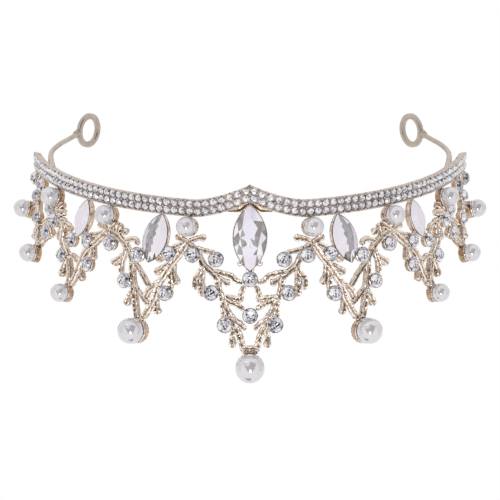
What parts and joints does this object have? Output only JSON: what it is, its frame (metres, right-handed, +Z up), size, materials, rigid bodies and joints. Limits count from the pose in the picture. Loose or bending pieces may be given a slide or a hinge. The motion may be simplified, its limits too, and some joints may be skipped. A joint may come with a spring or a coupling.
{
  "type": "bridal tiara",
  "caption": "Bridal tiara: a pave-set band with a pointed middle, hanging cast twig sprays with glued pearls, round and navette crystals, and wire end arms with pinning eyes.",
  "frame": {"origin": "the middle of the head oval, at the band's mid height away from its point", "axes": "+X along the tiara's width, to the right as seen from the front; -Y is the front, where the band has its point; +Z is up as pictured, with the sprays hanging below the band"},
  "size_m": [0.139, 0.1168, 0.0531],
  "materials": {
    "champagne_gold": "polished champagne-gold plating over a cast alloy",
    "arm_metal": "greyish-beige plated wire",
    "pearl": "white pearl lustre",
    "crystal": "clear foiled crystal"
  },
  "bodies": {
    "root": {"band": "champagne_gold", "spray_centre": "champagne_gold", "spray_inner_right": "champagne_gold", "spray_inner_left": "champagne_gold", "spray_outer_right": "champagne_gold", "spray_outer_left": "champagne_gold", "spray_end_right": "champagne_gold", "spray_end_left": "champagne_gold", "arm_right": "arm_metal", "arm_left": "arm_metal", "pearl_tip_centre": "pearl", "pearl_band_inner_right": "pearl", "pearl_band_inner_left": "pearl", "pearl_tip_inner_right": "pearl", "pearl_tip_inner_left": "pearl", "pearl_band_outer_right": "pearl", "pearl_band_outer_left": "pearl", "pearl_tip_outer_right": "pearl", "pearl_tip_outer_left": "pearl", "pearl_band_end_right": "pearl", "pearl_band_end_left": "pearl", "pearl_tip_end_right": "pearl", "pearl_tip_end_left": "pearl", "pearl_side_end_right": "pearl", "pearl_side_end_left": "pearl", "navette_centre": "crystal", "navette_inner_right": "crystal", "navette_inner_left": "crystal", "navette_outer_right": "crystal", "navette_outer_left": "crystal", "crystal_centre_1": "crystal", "crystal_centre_2": "crystal", "crystal_centre_3": "crystal", "crystal_centre_4": "crystal", "crystal_centre_5": "crystal", "crystal_centre_6": "crystal", "crystal_centre_7": "crystal", "crystal_centre_8": "crystal", "crystal_centre_9": "crystal", "crystal_centre_10": "crystal", "crystal_inner_1_right": "crystal", "crystal_inner_1_left": "crystal", "crystal_inner_2_right": "crystal", "crystal_inner_2_left": "crystal", "crystal_inner_3_right": "crystal", "crystal_inner_3_left": "crystal", "crystal_inner_4_right": "crystal", "crystal_inner_4_left": "crystal", "crystal_inner_5_right": "crystal", "crystal_inner_5_left": "crystal", "crystal_outer_1_right": "crystal", "crystal_outer_1_left": "crystal", "crystal_outer_2_right": "crystal", "crystal_outer_2_left": "crystal", "crystal_outer_3_right": "crystal", "crystal_outer_3_left": "crystal", "crystal_outer_4_right": "crystal", "crystal_outer_4_left": "crystal"}
  },
  "joints": []
}
